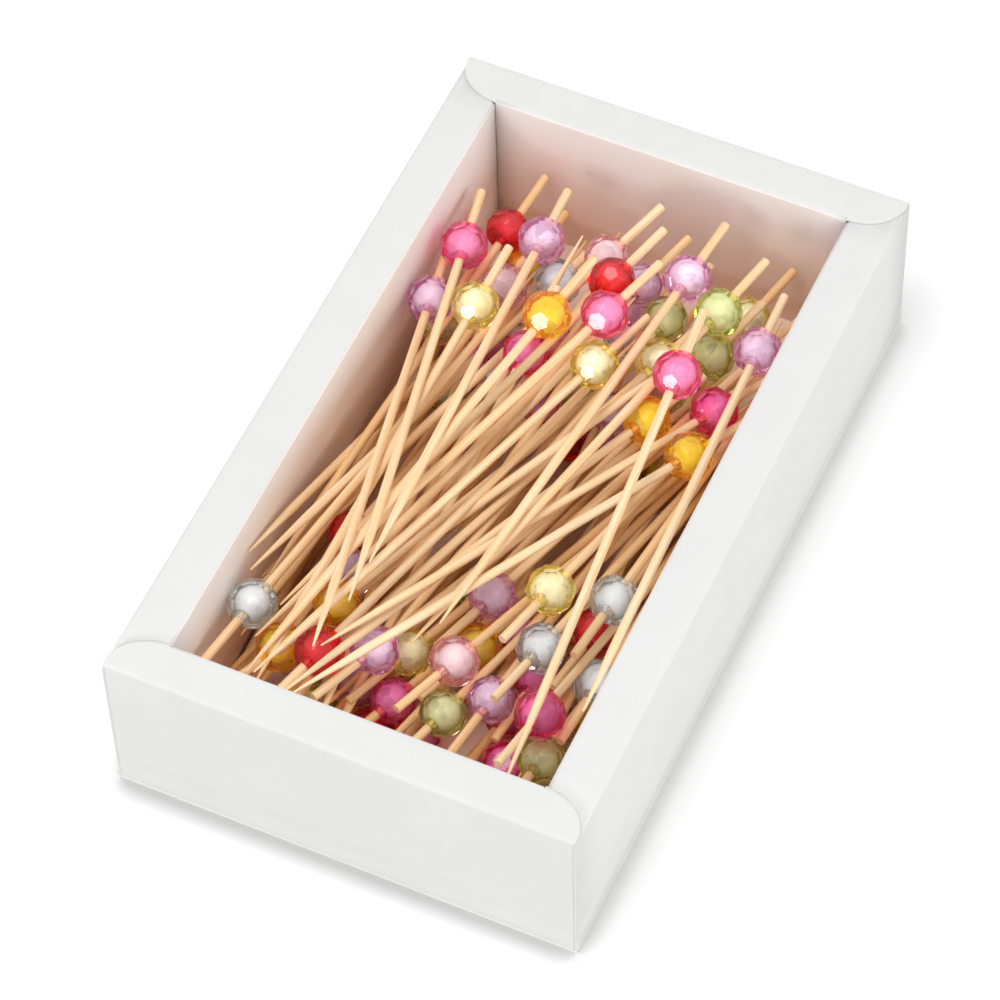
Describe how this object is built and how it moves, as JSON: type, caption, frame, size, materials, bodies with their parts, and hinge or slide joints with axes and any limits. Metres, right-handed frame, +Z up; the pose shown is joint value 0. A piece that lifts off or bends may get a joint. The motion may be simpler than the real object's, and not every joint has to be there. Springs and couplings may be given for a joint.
{
  "type": "tray of ball cocktail picks",
  "caption": "Open folded-card tray filled with long bamboo cocktail picks, each with a clear faceted coloured ball near its blunt end; the top picks lift out.",
  "frame": {"origin": "middle of the tray's underside", "axes": "+X across the tray to its right side, +Y along the tray to its far end, +Z up"},
  "size_m": [0.104, 0.176, 0.0491],
  "materials": {
    "card": "matte white folded card",
    "bamboo": "raw bamboo",
    "bead_core": "milky white plastic",
    "bead_rose": "clear faceted acrylic, rose pink",
    "bead_magenta": "clear faceted acrylic, magenta",
    "bead_blush": "clear faceted acrylic, blush pink",
    "bead_lilac": "clear faceted acrylic, lilac",
    "bead_clear": "clear faceted acrylic, clear",
    "bead_cream": "clear faceted acrylic, cream yellow",
    "bead_amber": "clear faceted acrylic, amber",
    "bead_green": "clear faceted acrylic, leaf green"
  },
  "bodies": {
    "tray": {"amber_middle_bead": "bead_amber", "amber_middle_stick": "bamboo", "amber_right_bead": "bead_amber", "amber_right_stick": "bamboo", "amber_top_bead": "bead_amber", "amber_top_stick": "bamboo", "blush_near_bead": "bead_blush", "blush_near_stick": "bamboo", "buried_picks_1": "bamboo", "clear_near_far_bead": "bead_clear", "clear_near_far_stick": "bamboo", "clear_near_left_bead": "bead_clear", "clear_near_left_stick": "bamboo", "clear_near_middle_bead": "bead_clear", "clear_near_middle_stick": "bamboo", "cream_left_bead": "bead_cream", "cream_left_stick": "bamboo", "cream_middle_bead_core": "bead_core", "cream_middle_bead_shell": "bead_cream", "cream_middle_stick": "bamboo", "cream_near_far_bead": "bead_cream", "cream_near_far_stick": "bamboo", "end_wall_far": "card", "end_wall_near": "card", "green_right_bead": "bead_green", "green_right_stick": "bamboo", "lilac_far_right_bead_core": "bead_core", "lilac_far_right_bead_shell": "bead_lilac", "lilac_far_right_stick": "bamboo", "lilac_near_far_bead": "bead_lilac", "lilac_near_far_stick": "bamboo", "lilac_near_left_bead": "bead_lilac", "lilac_near_left_stick": "bamboo", "magenta_right_bead": "bead_magenta", "magenta_right_stick": "bamboo", "rose_middle_bead": "bead_rose", "rose_middle_stick": "bamboo", "side_wall_left": "card", "side_wall_right": "card", "tray_floor": "card"},
    "lilac_left_pick": {"lilac_left_stick": "bamboo", "lilac_left_bead_shell": "bead_lilac", "lilac_left_bead_core": "bead_core"},
    "rose_left_pick": {"rose_left_stick": "bamboo", "rose_left_bead_shell": "bead_rose", "rose_left_bead_core": "bead_core"},
    "lilac_far_left_pick": {"lilac_far_left_stick": "bamboo", "lilac_far_left_bead_shell": "bead_lilac", "lilac_far_left_bead_core": "bead_core"},
    "lilac_right_pick": {"lilac_right_stick": "bamboo", "lilac_right_bead_shell": "bead_lilac", "lilac_right_bead_core": "bead_core"},
    "rose_right_pick": {"rose_right_stick": "bamboo", "rose_right_bead_shell": "bead_rose", "rose_right_bead_core": "bead_core"}
  },
  "joints": [
    {"name": "lilac_left_lift", "type": "slide", "parent": "tray", "child": "lilac_left_pick", "axis": [0, 0, 1], "range_m": [0, 0.06]},
    {"name": "rose_left_lift", "type": "slide", "parent": "lilac_left_pick", "child": "rose_left_pick", "axis": [0, 0, 1], "range_m": [0, 0.06]},
    {"name": "lilac_far_left_lift", "type": "slide", "parent": "tray", "child": "lilac_far_left_pick", "axis": [0, 0, 1], "range_m": [0, 0.06]},
    {"name": "lilac_right_lift", "type": "slide", "parent": "tray", "child": "lilac_right_pick", "axis": [0, 0, 1], "range_m": [0, 0.06]},
    {"name": "rose_right_lift", "type": "slide", "parent": "tray", "child": "rose_right_pick", "axis": [0, 0, 1], "range_m": [0, 0.06]}
  ]
}
